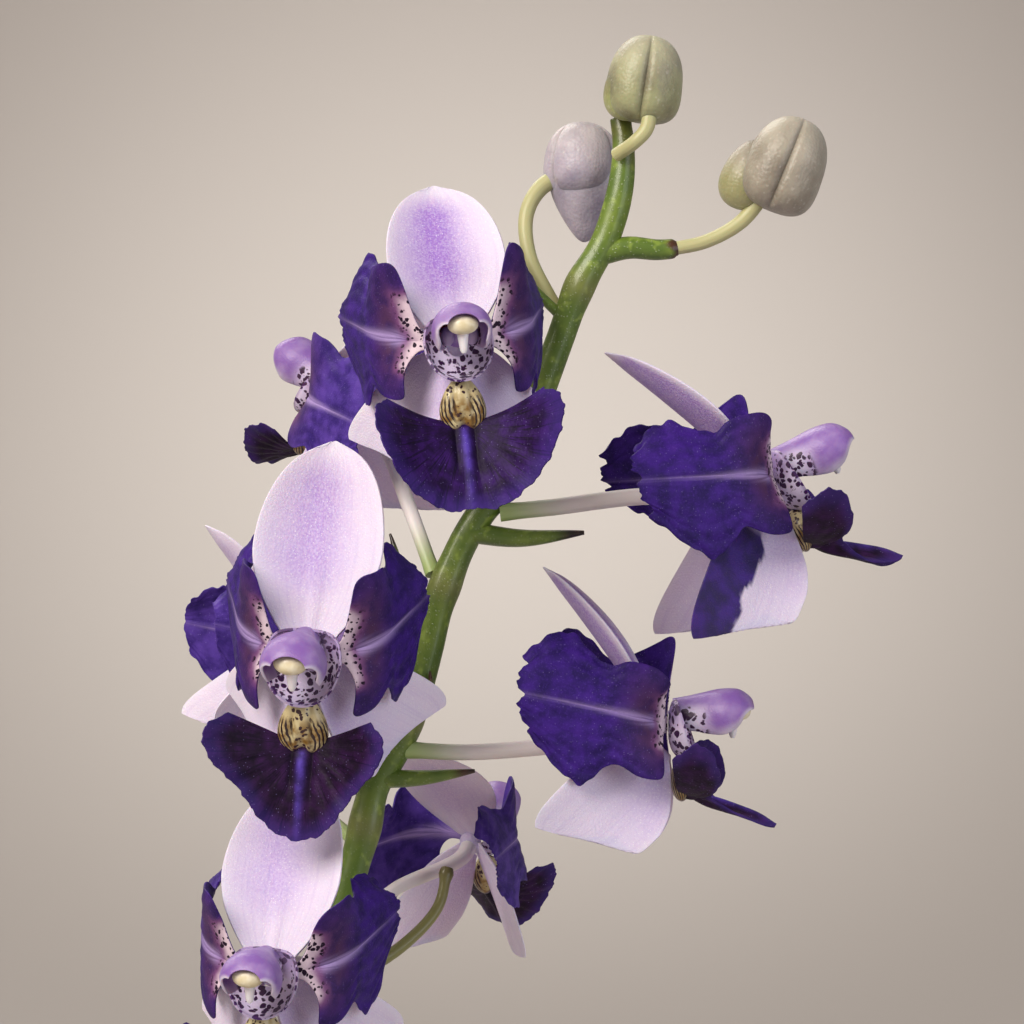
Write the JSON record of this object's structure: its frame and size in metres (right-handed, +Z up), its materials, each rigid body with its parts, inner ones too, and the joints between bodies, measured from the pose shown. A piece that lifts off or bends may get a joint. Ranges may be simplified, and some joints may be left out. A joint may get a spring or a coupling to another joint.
{
  "type": "moth orchid in vase",
  "caption": "Cut moth orchid spike with blue-violet blooms, lilac sepals and closed buds on a zigzag green stem, standing in water in a plain slim glazed ceramic bud vase.",
  "frame": {"origin": "centre of the vase's flat base", "axes": "+Z up along the vase's axis, -Y towards the side that the front blooms face, +X towards the side that the spike's top leans to"},
  "size_m": [0.1215, 0.0877, 0.3712],
  "materials": {
    "glaze": "plain off-white gloss glaze, bare clay foot",
    "water": "clear still water",
    "stem": "living green stem, satin, with brown bract tips",
    "bud": "sage-cream closed bud, satin",
    "sepal": "lilac to frosted white sepal, fine cell glitter",
    "petal": "indigo-violet petal with spotted white lobes, velvety",
    "lip": "near-black violet lip with an ochre callus, velvety",
    "column": "lilac column with a spotted white collar",
    "cap": "cream anther cap, waxy"
  },
  "bodies": {
    "root": {"vase": "glaze", "water": "water", "spike": "stem", "bud_top": "bud", "bud_right": "bud", "bud_left": "bud", "bloom_1_sepals": "sepal", "bloom_1_petal_left": "petal", "bloom_1_petal_right": "petal", "bloom_1_lip": "lip", "bloom_1_column": "column", "bloom_1_anther_cap": "cap", "bloom_2_sepals": "sepal", "bloom_2_petal_left": "petal", "bloom_2_petal_right": "petal", "bloom_2_lip": "lip", "bloom_2_column": "column", "bloom_2_anther_cap": "cap", "bloom_3_sepals": "sepal", "bloom_3_petal_left": "petal", "bloom_3_petal_right": "petal", "bloom_3_lip": "lip", "bloom_3_column": "column", "bloom_3_anther_cap": "cap", "bloom_4_sepals": "sepal", "bloom_4_petal_left": "petal", "bloom_4_petal_right": "petal", "bloom_4_lip": "lip", "bloom_4_column": "column", "bloom_4_anther_cap": "cap", "bloom_5_sepals": "sepal", "bloom_5_petal_left": "petal", "bloom_5_petal_right": "petal", "bloom_5_lip": "lip", "bloom_5_column": "column", "bloom_5_anther_cap": "cap", "bloom_6_sepals": "sepal", "bloom_6_petal_left": "petal", "bloom_6_petal_right": "petal", "bloom_6_lip": "lip", "bloom_6_column": "column", "bloom_6_anther_cap": "cap", "bloom_7_sepals": "sepal", "bloom_7_petal_left": "petal", "bloom_7_petal_right": "petal", "bloom_7_lip": "lip", "bloom_7_column": "column", "bloom_7_anther_cap": "cap", "bloom_8_sepals": "sepal", "bloom_8_petal_left": "petal", "bloom_8_petal_right": "petal", "bloom_8_lip": "lip", "bloom_8_column": "column", "bloom_8_anther_cap": "cap"}
  },
  "joints": []
}
